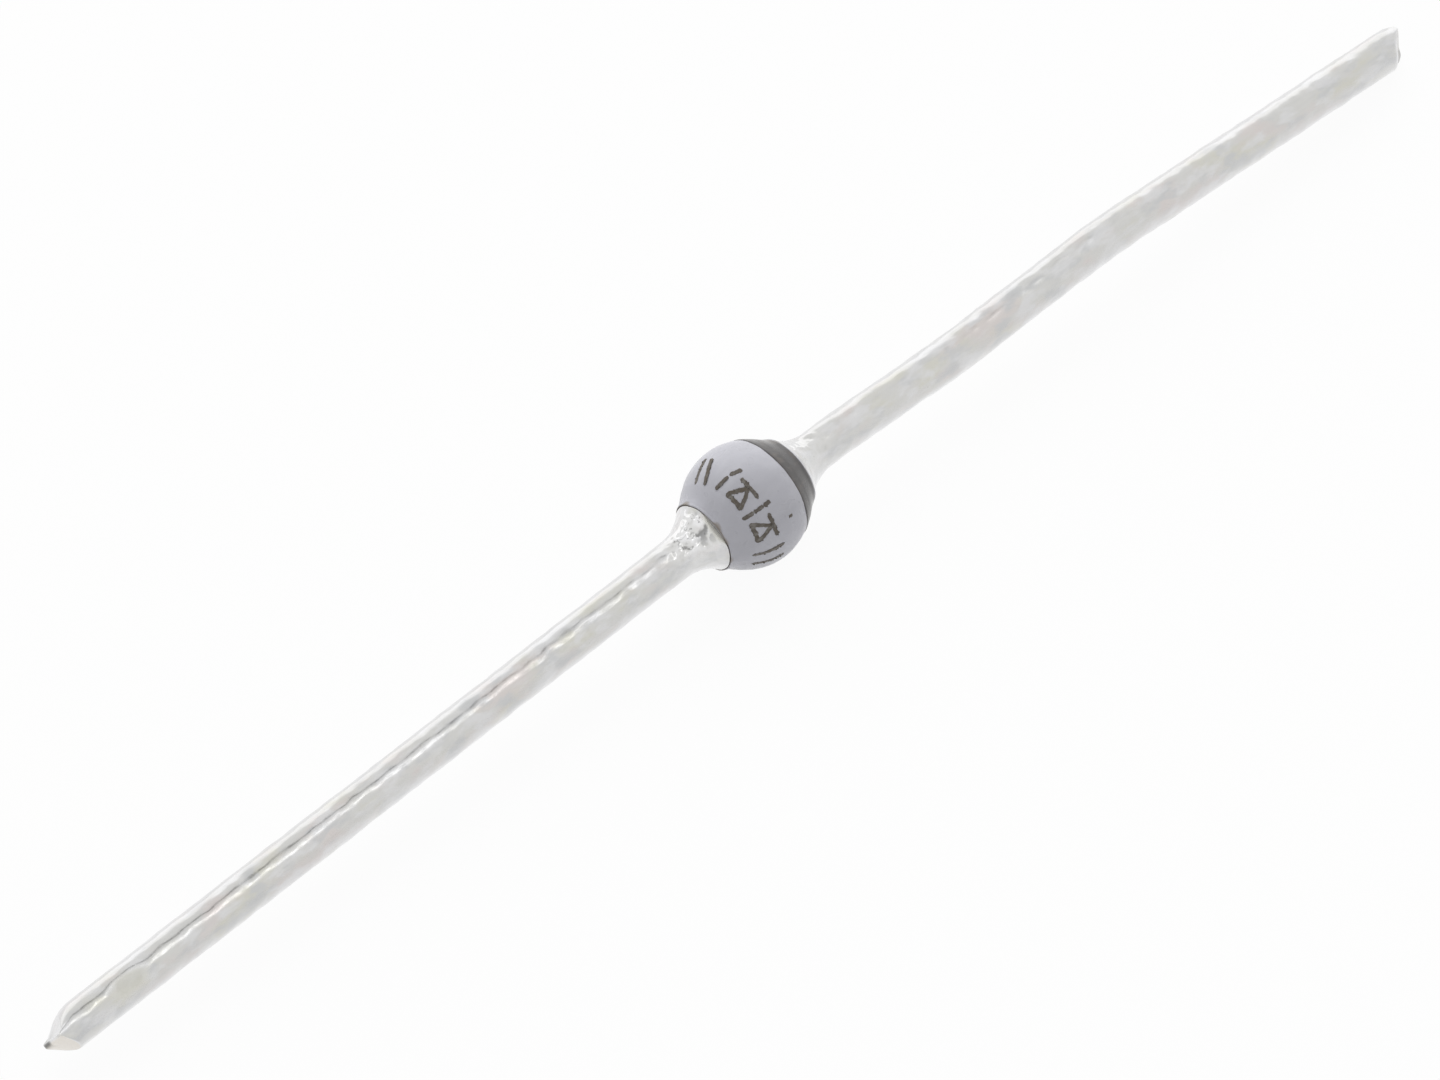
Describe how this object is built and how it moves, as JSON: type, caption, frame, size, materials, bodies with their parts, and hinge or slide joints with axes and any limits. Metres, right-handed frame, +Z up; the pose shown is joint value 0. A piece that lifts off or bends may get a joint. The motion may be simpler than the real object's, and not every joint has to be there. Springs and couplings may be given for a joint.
{
  "type": "axial rectifier diode",
  "caption": "Axial rectifier diode: grey glass bead with a dark cathode band, on two straight tinned wire leads flared at the bead and chisel-cut at the tips.",
  "frame": {"origin": "on the floor, directly below the middle of the glass bead, as the diode lies at rest", "axes": "+X along the leads towards the cathode (banded) end, +Z up"},
  "size_m": [0.0568, 0.0038, 0.0039],
  "materials": {
    "bead_glass": "opaque sintered glass, smooth and glossy",
    "band_paint": "dark grey-brown marking enamel, glossy",
    "tinned_copper": "bright hot-dipped tin on copper wire, lightly drawn and dented",
    "braze": "hard solder between stud and lead",
    "molybdenum": "turned molybdenum",
    "aluminium_alloy": "alloyed layer, matte",
    "silicon": "etched silicon"
  },
  "bodies": {
    "root": {"glass_body": "bead_glass", "cathode_band": "band_paint", "anode_lead": "tinned_copper", "cathode_lead": "tinned_copper", "anode_braze": "braze", "cathode_braze": "braze", "anode_stud": "molybdenum", "cathode_stud": "molybdenum", "anode_alloy": "aluminium_alloy", "cathode_alloy": "aluminium_alloy", "silicon_die": "silicon"}
  },
  "joints": []
}
